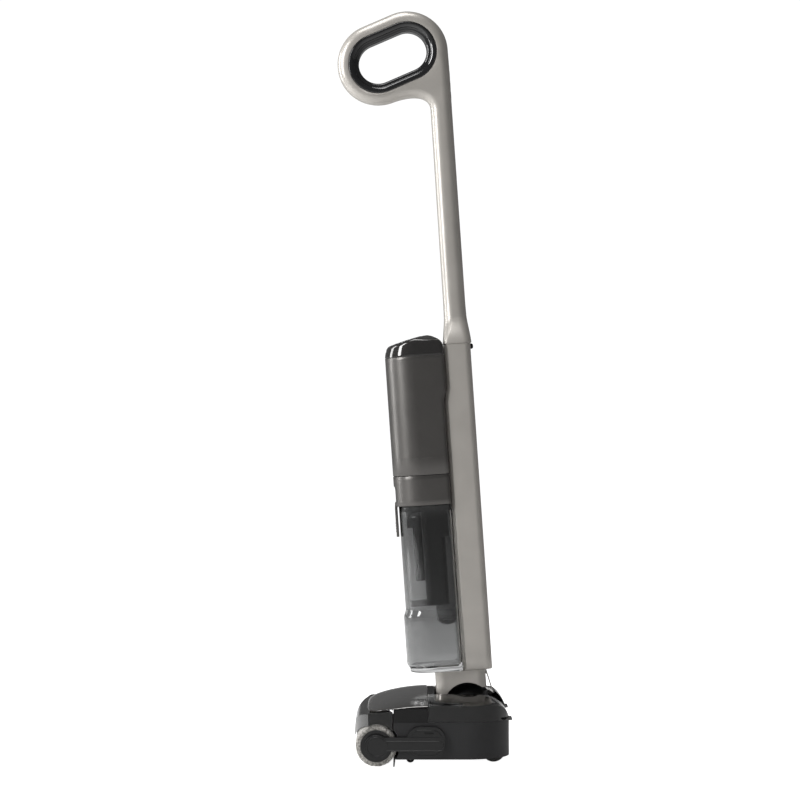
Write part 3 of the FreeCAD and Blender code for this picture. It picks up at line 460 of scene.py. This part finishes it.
def handle_halves():
    """Two shells that meet on the loop's centre line, rolled over to a flat face around the grip."""
    path = loop_path()
    normals = inward(path)
    seam = [(0.9, 0.0), (0.25, 0.3), (0.0, 0.8)]
    seam_edge = seam[-1][1]
    roll = [(POLE_RADIUS * (1 - math.cos(a)), math.sin(a)) for a in spread(0.06, math.pi / 2, 14)]
    points, faces = [], []
    for inset, x in seam:
        points += [(x, *(p + n * inset)) for p, n in zip(path, normals)]
    for inset, lift in roll:
        for p, n in zip(path, normals):
            x = max(half_width(p.y) - POLE_RADIUS * (1 - lift), seam_edge)
            points.append((x, *(p + n * inset)))
    count = len(path)
    last_row = len(seam) + len(roll) - 1
    for r in range(last_row):
        a, b = r * count, (r + 1) * count
        faces += [(a + i, a + i + 1, b + i + 1, b + i) for i in range(count - 1)]
    rim = list(range(last_row * count, (last_row + 1) * count))
    hole_rings = [(HOLE_RADIUS + 1.2, 0.0), (HOLE_RADIUS + 0.4, -0.25), (HOLE_RADIUS, -1.0),
                  (HOLE_RADIUS, -5.0)]
    hole_start = len(points)
    for radius, drop in hole_rings:
        points += sideways(stadium(LOOP_LOW, LOOP_HIGH, radius), LOOP_HALF + drop)
    hole_count = (len(points) - hole_start) // len(hole_rings)
    starts = [hole_start + i * hole_count for i in range(len(hole_rings))]
    rings = [points[first:first + hole_count] for first in starts]
    faces += skin(rings, caps=(False, False), start=hole_start)

    work = bmesh.new()
    verts = [work.verts.new(p) for p in points]
    for face in faces:
        work.faces.new([verts[i] for i in face])
    work.verts.ensure_lookup_table()
    border = [(rim[i], rim[(i + 1) % count]) for i in range(count)]
    border += [(hole_start + i, hole_start + (i + 1) % hole_count) for i in range(hole_count)]
    edges = []
    for a, b in border:
        edge = work.edges.get((verts[a], verts[b])) or work.edges.new((verts[a], verts[b]))
        edges.append(edge)
    bmesh.ops.triangle_fill(work, use_beauty=True, use_dissolve=False, edges=edges, normal=(1, 0, 0))
    work.verts.index_update()
    filled = [tuple(v.index for v in face.verts) for face in work.faces]
    points = [tuple(v.co) for v in work.verts]
    work.free()
    for side, sign in (("left", 1), ("right", -1)):
        half = [(sign * x, t, v) for x, t, v in points]
        piece(f"handle_half_{side}", half, filled, COLUMN, SILVER, "column",
              [f"handle_shell_{side}"], angle=40)


def grip_ring():
    """The glossy ring inside the loop: a sloped face, a step and a rounded inner lip."""
    profile = [(43.6, 11.0), (43.6, 15.6), (43.1, 16.6), (42.2, 17.0), (39.5, 16.4), (36.6, 15.1),
               (35.9, 14.5), (35.5, 13.2), (34.8, 12.6), (32.6, 12.4), (31.2, 12.0), (30.2, 11.2),
               (29.3, 9.8), (28.8, 8.0), (28.5, 5.5), (28.5, 0.6), (28.8, 0.0)]
    whole = profile + flipped(profile[:-1])
    rings = [sideways(stadium(LOOP_LOW, LOOP_HIGH, radius), x) for radius, x in whole]
    loft("grip_ring_skin", rings, COLUMN, GLOSS, "column", ["grip_ring"], closed=True,
         angle=50)


def handle_keys():
    """Three domed keys on the pole's rear and the release nub below."""
    for name, height in (("clean", 898), ("mode", 914), ("power", 930)):
        dome = [(0.02, 37.5), (3.2, 37.45), (4.5, 37.2), (4.85, 36.7), (4.85, 32.6), (0.02, 32.6)]
        lathe(f"{name}_key_cap", dome, (0, 0, height), COLUMN, BLACK_SATIN, f"{name}_key",
              [f"{name}_button"], along="y", steps=40)
        collar = [(5.3, 36.9), (5.35, 37.4), (5.9, 37.55), (6.5, 37.42), (6.5, 36.9)]
        lathe(f"{name}_key_collar", collar, (0, 0, height), COLUMN, NECK_SILVER, "column",
              along="y", steps=40)
    rings = []
    for t, inset in ((32, 0.6), (39, 0.0), (42.6, 0.0), (43.8, 0.6), (44.4, 1.6), (44.6, 2.4)):
        rings.append([(x, t, v) for x, v in section(6 - inset, 523.6 + inset, 531.4 - inset, 1.2, 1.2, 3, 3)])
    loft("release_nub", rings, COLUMN, BLACK, "release_key", ["release_button"])


# ---------------------------------------------------------------- motor unit
UNIT_HALF, UNIT_FRONT, UNIT_REAR = 43.0, -86.5, -3.4
UNIT_LOW, UNIT_HIGH, UNIT_EAR = 343.2, 517.5, 0.9


def unit_rear(height):
    """The rear edge swells back over the casing's stepped front."""
    return UNIT_REAR + (UNIT_EAR - UNIT_REAR) * ease(height, 450, 470)


def motor_casing():
    """The gunmetal casing, with a fine seam near its foot."""
    seam = 368.5
    rows = [(UNIT_LOW, 0.9), (UNIT_LOW + 0.3, 0.3), (UNIT_LOW + 0.9, 0.0)]
    rows += [(seam - 0.3, 0.0), (seam - 0.15, 0.14), (seam + 0.15, 0.14), (seam + 0.3, 0.0)]
    rows += [(height, 0.0) for height in spread(seam + 12, UNIT_HIGH - 4, 34)]
    rows += [(UNIT_HIGH - 0.6, 0.0), (UNIT_HIGH - 0.15, 0.3), (UNIT_HIGH, 0.9)]
    rings = [level(bullet(UNIT_HALF - i, UNIT_FRONT + i, unit_rear(v) - i, 6.0), v) for v, i in rows]
    loft("motor_casing", rings, COLUMN, GUNMETAL, "column", ["motor_housing"])


RIDGE = (-20.6, 549.5)
CAP_FRONT, CAP_BROW = (-86.5, 517.7), (-82.6, 534.5)
CAP_BACK = (0.1, 536.8)


def cap_height(t):
    """The cap's roof: a long slope up from the front and a short one down to the rear, softly met."""
    front = CAP_BROW[1] + (t - CAP_BROW[0]) * (RIDGE[1] - CAP_BROW[1]) / (RIDGE[0] - CAP_BROW[0])
    back = RIDGE[1] + (t - RIDGE[0]) * (CAP_BACK[1] - RIDGE[1]) / (CAP_BACK[0] - RIDGE[0])
    soft, far_apart = 3.0, 60
    if abs(front - back) >= far_apart:
        return min(front, back)
    return -soft * math.log(math.exp(-front / soft) + math.exp(-back / soft))


def motor_cap():
    """The lacquered cap, its roof rolled into its walls."""
    def ring(inset, height, share):
        """A wall ring at this inset; share moves it from its own height up to the roof."""
        lean = 3.4 * share
        outline = bullet(UNIT_HALF - inset, UNIT_FRONT + inset + lean * 0.6, CAP_BACK[0] - inset,
                         max(6.0 - inset, 0.8))
        return [(x, t, height + (cap_height(t) - height) * share) for x, t in outline]

    low = CAP_FRONT[1]
    rings = [ring(0.7, low, 0), ring(0.15, low + 0.2, 0), ring(0.0, low + 0.8, 0)]
    roll = 7.0
    for share in (0.15, 0.3, 0.45):
        rings.append(ring(0.4 * share, low, share))
    for a in spread(0, 90, 9):
        inset = roll * (1 - math.cos(math.radians(a)))
        drop = roll * (1 - math.sin(math.radians(a)))
        rings.append([(x, t, v - drop) for x, t, v in ring(0.3 + inset, low, 1)])
    for inset in (11, 16, 22, 28, 34, 40):
        rings.append(ring(inset, low, 1))
    loft("motor_cap", rings, COLUMN, CAP_GLOSS, "column", ["top_cap"], angle=60)


def display():
    """The round lens set into the cap's front slope, with a raised bezel: a thin ring of steel."""
    slope = math.atan2(RIDGE[1] - CAP_BROW[1], RIDGE[0] - CAP_BROW[0])
    seat = COLUMN @ Matrix.Translation((0, -51.1, cap_height(-51.1) + 0.15)) @ Matrix.Rotation(slope, 4, "X")
    lens = [(0.05, 0.9), (8, 0.85), (15, 0.6), (18.4, 0.2), (19.0, -0.3), (19.0, -1.2), (0.05, -1.2)]
    lathe("display_glass", lens, (0, 0, 0), seat, LENS, "column", ["display_lens"], along="z")
    bezel = [(19.2, -1.0), (19.3, 0.2), (19.8, 0.5), (20.5, 0.3), (20.9, -0.3), (20.9, -1.0)]
    lathe("display_bezel", bezel, (0, 0, 0), seat, STEEL, "column", along="z")


# ---------------------------------------------------------------- dirty water tank
JAR_REAR, LID_LOW, LID_HIGH = -3.6, 298.8, 342.8


def tank_lid():
    """The lid, notched in front for the latch, with a shadow line at its foot."""
    rows = [(LID_LOW, 0.9), (LID_LOW + 0.3, 0.3), (LID_LOW + 0.9, 0.0)]
    rows += [(height, 0.0) for height in spread(LID_LOW + 8, LID_HIGH - 6, 6)]
    rows += [(LID_HIGH - 0.9, 0.0), (LID_HIGH - 0.3, 0.3), (LID_HIGH, 0.9)]
    rings = [level(bullet(UNIT_HALF - i, UNIT_FRONT + i, JAR_REAR - i, 6.0), v) for v, i in rows]
    lid = loft("lid_casing", rings, COLUMN, GUNMETAL, "dirty_tank_body", ["tank_lid"])
    notch = [[(x, t, v) for x, v in section(12.6, 290, 328.4, 2, 6)] for t in (-95, -81.0)]
    carve(lid, cutter(notch, COLUMN))
    throat = [[(x, t, v) for x, v in section(11.6, 297, 325.4, 2, 5)] for t in (-81.2, -79.6)]
    loft("latch_pocket", throat, COLUMN, BLACK, "dirty_tank_body")


def lid_latch():
    """The latch: a tongue with a thumb ledge at its head and a light edge down each side."""
    def profile(inset):
        front, rear, low, bend = -87.0, -83.0, 254.0, 296
        return [(front + inset, low + inset), (rear - inset, low + inset), (rear - inset, bend),
                (-81.9, 300.5), (-81.9, 306.2), (-84.2, 306.6 - inset), (-86.4 + inset, 303.8 - inset),
                (front + inset, bend)]

    stations = ((-11, 0.7), (-10.7, 0.2), (-10.2, 0), (10.2, 0), (10.7, 0.2), (11, 0.7))
    rings = [sideways(profile(inset), x) for x, inset in stations]
    loft("latch_tongue", rings, COLUMN, GUNMETAL, "latch", ["lid_latch"])
    for number, v in enumerate((262, 266, 270, 274)):
        bar = [[(x, t, z) for x, z in section(7.0 - i, v - 0.7 + i, v + 0.7 - i, 0.4, 0.4, 2, 2)]
               for t, i in ((-86.9, 0), (-87.3, 0), (-87.5, 0.3))]
        loft(f"latch_rib_{number}", bar, COLUMN, GUNMETAL, "latch")


def jar_half(v):
    """The tank's outer swell, as how far it stands out from the slimmer upper wall."""
    return ease(v, 66.5, 60) * -0.5 + (1 - ease(v, 134, 147)) * 3.4 * ease(v, 58, 66)


def dirty_tank():
    """A clear moulded tank: a swollen belly over a thick clear foot, open at the top."""
    skin_thick, floor_low, floor_high = 2.2, 53.7, 61.0

    def outer(v, inset=0.0):
        swell = jar_half(v)
        return level(bullet(41.0 + swell * 0.3 - inset, -81.0 - swell + inset, JAR_REAR - inset, 5.0), v)

    rows = [(floor_low, 2.2), (floor_low + 0.5, 0.9), (floor_low + 1.6, 0.1)]
    rings = [outer(v, i) for v, i in rows] + [outer(v) for v in (57.5, 60, 62, 64, 66, 70)]
    rings += [outer(v) for v in spread(80, 132, 6)] + [outer(v) for v in spread(134, 148, 7)]
    rings += [outer(v) for v in spread(165, 297.5, 9)] + [outer(298.3, 0.5)]
    rings += [outer(298.3, skin_thick - 0.4), outer(297.3, skin_thick)]
    rings += [outer(v, skin_thick) for v in spread(280, 165, 8)]
    rings += [outer(v, skin_thick) for v in spread(148, 134, 7)]
    rings += [outer(v, skin_thick) for v in spread(120, 72, 4)]
    rings += [outer(67, skin_thick + 0.3)]
    rings += [[(x, t, v - 67 + floor_high + 2.6) for x, t, v in outer(67, skin_thick + 1.2)],
              [(x, t, v - 67 + floor_high) for x, t, v in outer(67, skin_thick + 4.0)]]
    loft("tank_wall", rings, COLUMN, CLEAR, "dirty_tank_body", ["dirty_tank"], angle=30)


# ---------------------------------------------------------------- head
ROLLER_BACK, ROLLER_UP = (c / MM for c in joint("roller_spin")["pos_m"][1:])
WHEELS = {side: [c / MM for c in joint(f"rear_wheel_{side}_spin")["pos_m"]] for side in ("left", "right")}
CASTERS = {side: [c / MM for c in joint(f"front_wheel_{side}_spin")["pos_m"]] for side in ("left", "right")}


def roller_fleece():
    """The pile: a lumpy sleeve with short fibres standing out of it and out of its two ends."""
    half, core, pile = 118.0, 22.3, 29.6
    random.seed(11)
    profile = [(core, half), (core + 2, half + 0.2), (pile - 1.6, half), (pile, half - 1.6)]
    profile += [(pile, x) for x in spread(half - 4, 4 - half, 118)]
    profile += [(pile, 1.6 - half), (pile - 1.6, -half), (core + 2, -half - 0.2), (core, -half)]
    steps = 160
    points = []
    for radius, x in profile:
        for i in range(steps):
            a = 2 * math.pi * i / steps
            lump = noise.noise(Vector((x / 2.6, radius * math.cos(a) / 2.6, radius * math.sin(a) / 2.6)))
            r = radius + (0.75 * lump if radius > core + 1 else 0.0)
            points.append((x, ROLLER_BACK + r * math.cos(a), ROLLER_UP + r * math.sin(a)))
    rings = [points[i * steps:(i + 1) * steps] for i in range(len(profile))]
    faces = skin(rings, closed=True)
    for number in range(15000):
        a = random.uniform(0, 2 * math.pi)
        at_end = number % 5 == 0
        radius = random.uniform(core + 1, pile) if at_end else pile - 0.4
        x = random.choice((-half, half)) if at_end else random.uniform(-half, half)
        out = Vector((0, math.cos(a), math.sin(a)))
        root = Vector((x, ROLLER_BACK, ROLLER_UP)) + out * radius
        bend = Vector([random.gauss(0, 0.5) for _ in range(3)])
        lead = (Vector((math.copysign(0.9, x), 0, 0)) + out * 0.3) if at_end else out
        tip = root + lead * random.uniform(0.5, 1.25) + bend * (0.6 if at_end else 0.9)
        if not at_end:
            centre = Vector((tip.x, ROLLER_BACK, ROLLER_UP))
            away = tip - centre
            tip = centre + away.normalized() * min(away.length, pile + 0.8)
        tip.x = max(-half - 1.4, min(half + 1.4, tip.x))
        across = lead.cross(bend).normalized() * 0.16
        first = len(points)
        points += [tuple(root - across), tuple(root + across), tuple(tip)]
        faces.append((first, first + 1, first + 2))
    piece("roller_fleece", points, faces, ROW, FLEECE, "roller", ["roller_sleeve"])


def wheel_set():
    """Tyres with grooved treads over dished hubs; the small front wheels are plain rollers."""
    for side, (x, y, z) in WHEELS.items():
        radius, half = z - 0.05, 11.0
        shoulder = [(11.5, half - 1.2), (13.0, half - 0.2), (radius - 1.8, half),
                    (radius - 0.5, half - 0.7), (radius, half - 2)]
        bed, tread = radius - 0.6, []
        for groove in (6.0, 2.0, -2.0, -6.0):
            tread += [(radius, groove + 0.8), (bed, groove + 0.5),
                      (bed, groove - 0.5), (radius, groove - 0.8)]
        body = f"rear_wheel_{side}_body"
        lathe(f"rear_tyre_{side}", shoulder + tread + flipped(shoulder), (x, y, z), ROW, TYRE, body,
              [f"rear_wheel_{side}"])
        dish = [(3.1, half), (5.0, half), (5.4, half - 1.0), (8.5, half - 2.6), (11.4, half - 1.4)]
        lathe(f"rear_hub_{side}", dish + flipped(dish), (x, y, z), ROW, BLACK_SATIN, body)
    for side, (x, y, z) in CASTERS.items():
        radius = z - 0.05
        outer_half = [(1.6, 3.0), (4.6, 3.0), (radius - 0.4, 2.7), (radius, 2.1), (radius, 0.6),
                      (radius - 0.35, 0.3)]
        body = f"front_wheel_{side}_body"
        lathe(f"front_tyre_{side}", outer_half + flipped(outer_half), (x, y, z), ROW, BLACK, body,
              [f"front_wheel_{side}"], steps=48)


def rib(name, path, width, rise, x, sign, material, body, closed=False):
    """A rounded rib that stands on a side face at x and follows a path in y and z."""
    profile = [(-width / 2, 0), (-width / 2, rise * 0.6), (-width / 4, rise), (width / 4, rise),
               (width / 2, rise * 0.6), (width / 2, 0)]
    path = [Vector(p) for p in path]
    rings = []
    for i, p in enumerate(path):
        before = path[i - 1] if i or closed else p
        after = path[(i + 1) % len(path)] if i + 1 < len(path) or closed else p
        along = (after - before).normalized()
        across = Vector((-along.y, along.x))
        rings.append([(x + sign * lift, *(p + across * offset)) for offset, lift in profile])
    return loft(name, rings, ROW, material, body, closed=closed)


VISOR_REAR, VISOR_FRONT, VISOR_HALF = 3.5, -83.8, 123.0
VISOR_BEND, VISOR_NOSE, VISOR_SHOULDER = -16.0, -72.0, -60
EDGE_HIGH, EDGE_DROP, CROWN_HIGH, CROWN_DROP, CROWN_REACH = 86.8, 10.0, 100.0, 9.5, 60.5


def visor_dome():
    """The lacquered visor: one dome whose side edge falls and whose plan rounds in towards the front."""
    thick, lip, across = 2.2, 0.3, 56

    def ring(y):
        taken = max(0.0, (VISOR_BEND - y) / (VISOR_BEND - VISOR_FRONT))
        half = VISOR_HALF * (1 - taken ** 4) ** 0.25
        edge = EDGE_HIGH - EDGE_DROP * ((VISOR_REAR - y) / (VISOR_REAR - VISOR_FRONT)) ** 1.8
        crown = CROWN_HIGH - CROWN_DROP * ((VISOR_REAR - y) / CROWN_REACH) ** 1.9
        nose = math.sqrt(max(0.0, 1 - max(0.0, (VISOR_NOSE - y) / (VISOR_NOSE - VISOR_FRONT)) ** 2))
        shares = [math.cos(math.pi * i / across) for i in range(across + 1)]
        rises = [(crown - edge) * nose * (1 - share * share) ** 0.6 for share in shares]
        outer = [(half * share, y, edge + rise) for share, rise in zip(shares, rises)]
        inner = [((half - thick) * share, y, edge - lip + max(0.0, rise - thick))
                 for share, rise in zip(shares, rises)]
        return outer + inner[::-1]

    reach = VISOR_FRONT - VISOR_SHOULDER
    stations = spread(VISOR_REAR, VISOR_SHOULDER, 26)
    stations += [VISOR_SHOULDER + reach * math.sin(a) for a in spread(0, 1.5, 18)[1:]]
    loft("visor_dome", [ring(y) for y in stations], ROW, VISOR_GLOSS, "roller_cover", ["visor"],
         angle=50)


def arm_trim():
    """Raised work on both arms: a split ring round the roller's end, a framed bar and boss lobes."""
    arm_face, boss_step = 128.2, 1.2
    for side, sign in (("left", 1), ("right", -1)):
        x = sign * arm_face
        boss_x = x - sign * boss_step
        ring = corner(ROLLER_BACK, ROLLER_UP, 13.6, 38, 322, 44)
        rib(f"arm_ring_{side}", ring, 1.5, 0.9, x, sign, BLACK_SATIN, "head")
        rim = corner(ROLLER_BACK, ROLLER_UP, 16.4, 0, 350, 70)
        rib(f"arm_rim_{side}", rim, 1.0, 0.6, x, sign, BLACK_SATIN, "head", closed=True)
        stops = (-56, -40, -20, 0, 18)
        bar = [(y, 38.2) for y in stops] + corner(19, 31.4, 6.8, 84, -84, 18)
        bar += [(y, 24.7) for y in reversed(stops)]
        rib(f"arm_bar_{side}", bar, 1.2, 0.8, x, sign, BLACK_SATIN, "head")
        boss = corner(10, 40.5, 13.5, 20, 90, 10) + corner(-8.0, 40.5, 13.5, 90, 158, 10)
        rib(f"boss_top_{side}", boss, 1.1, 0.8, boss_x, sign, BLACK_SATIN, "head")
        foot = corner(-8, 29.5, 11.5, 205, 270, 10) + corner(10, 29.5, 11.5, 270, 335, 10)
        rib(f"boss_foot_{side}", foot, 1.1, 0.8, boss_x, sign, BLACK_SATIN, "head")
        slot = [[(boss_x + sign * rise, y, z)
                 for y, z in section_at(4.5, 49.3, 7.0 - inset, 1.5 - inset, 1.3)]
                for rise, inset in ((0.0, 0), (0.5, 0), (0.7, 0.3))]
        loft(f"boss_catch_{side}", slot, ROW, BLACK, "head")


def section_at(y, z, half_long, half_high, radius):
    """A rounded bar in y and z around a centre."""
    r = radius * 0.9
    return [(y + u, z + w) for u, w in section(half_long, -half_high, half_high, r, r, 4, 4)]


def screws():
    """Screws on the head's underside and up the casing's rear face, as plain turned heads."""
    spots = [(x, y, 11.5) for x in (-88, 88) for y in (-4, 52)] + [(x, 104, 11.5) for x in (-22, 22)]
    head = [(0.05, 0.3), (1.6, 0.25), (2.6, -0.25), (2.9, 0.3), (2.9, 1.0), (0.05, 1.0)]
    for number, spot in enumerate(spots):
        lathe(f"base_screw_{number}", head, spot, ROW, STEEL, "head", along="z", steps=28)
    for number, v in enumerate((84.0, 300.0, 486.0)):
        rear = [(0.05, 40.05), (1.7, 40.1), (2.7, 40.3), (3.0, 39.9), (3.0, 39.2), (0.05, 39.2)]
        lathe(f"casing_screw_{number}", rear, (0, 0, v), COLUMN, STEEL, "column", along="y",
              steps=28)


# ---------------------------------------------------------------- stage
def area_light(name, place, target, power, width, height, colour=(1, 1, 1)):
    data = bpy.data.lights.new(name, "AREA")
    data.shape = "RECTANGLE"
    data.size, data.size_y = width, height
    data.energy = power
    data.color = colour
    light = bpy.data.objects.new(name, data)
    light.location = place
    light.rotation_euler = (Vector(target) - Vector(place)).to_track_quat("-Z", "Y").to_euler()
    bpy.context.scene.collection.objects.link(light)


def studio():
    """A pale floor and a world, both bright to the camera and dim as lamps, and three soft lights."""
    floor_mesh = bpy.data.meshes.new("floor")
    reach = 30.0
    corners = [(-reach, -reach, 0), (reach, -reach, 0), (reach, reach, 0), (-reach, reach, 0)]
    floor_mesh.from_pydata(corners, [], [(0, 1, 2, 3)])
    floor = bpy.data.objects.new("floor", floor_mesh)
    bpy.context.scene.collection.objects.link(floor)
    made, nodes, links, shader, where = new_material("pale_floor")
    shades = [(0.2, (0.88, 0.88, 0.88)), (0.8, (0.92, 0.92, 0.92))]
    links.new(ramp(nodes, links, cloud(nodes, links, where, 3, 4), shades), shader.inputs["Base Color"])
    shader.inputs["Roughness"].default_value = 0.7
    shader.inputs["Emission Color"].default_value = (1, 1, 1, 1)
    glow = nodes.new("ShaderNodeMapRange")
    glow.inputs["To Min"].default_value = 0.16
    glow.inputs["To Max"].default_value = 1.0
    links.new(nodes.new("ShaderNodeLightPath").outputs["Is Camera Ray"], glow.inputs["Value"])
    links.new(glow.outputs["Result"], shader.inputs["Emission Strength"])
    floor_mesh.materials.append(made)

    world = bpy.data.worlds.new("studio")
    world.use_nodes = True
    nodes, links = world.node_tree.nodes, world.node_tree.links
    path = nodes.new("ShaderNodeLightPath")
    seen = nodes.new("ShaderNodeMath")
    seen.operation = "MAXIMUM"
    links.new(path.outputs["Is Camera Ray"], seen.inputs[0])
    links.new(path.outputs["Is Transmission Ray"], seen.inputs[1])
    strength = nodes.new("ShaderNodeMapRange")
    strength.inputs["To Min"].default_value = 0.12
    strength.inputs["To Max"].default_value = 1.05
    links.new(seen.outputs[0], strength.inputs["Value"])
    links.new(strength.outputs["Result"], nodes["Background"].inputs["Strength"])
    nodes["Background"].inputs["Color"].default_value = (1, 1, 1, 1)
    bpy.context.scene.world = world
    bpy.context.scene.view_settings.view_transform = "Standard"

    middle = (0, 0, 0.55)
    area_light("key", (1.15, -2.1, 1.5), middle, 52, 0.55, 1.9)
    area_light("edge", (-0.6, -2.2, 1.0), middle, 22, 0.5, 1.8)
    area_light("top", (0.3, -0.4, 2.9), middle, 26, 1.2, 1.2)


def camera():
    """A long lens level with the middle of the column, square to the machine's side."""
    data = bpy.data.cameras.new("camera")
    data.sensor_width = 36
    data.lens = 115.7
    data.clip_end = 100
    made = bpy.data.objects.new("camera", data)
    made.location = (3.8, -0.0365, 0.526)
    made.rotation_euler = (math.pi / 2, 0, math.pi / 2)
    bpy.context.scene.collection.objects.link(made)
    bpy.context.scene.camera = made


# ---------------------------------------------------------------- build
def build():
    dress_frame()
    column_casing()
    handle_pole()
    handle_halves()
    grip_ring()
    handle_keys()
    motor_casing()
    motor_cap()
    display()
    tank_lid()
    lid_latch()
    dirty_tank()
    roller_fleece()
    wheel_set()
    arm_trim()
    screws()
    visor_dome()
    studio()
    camera()


build()
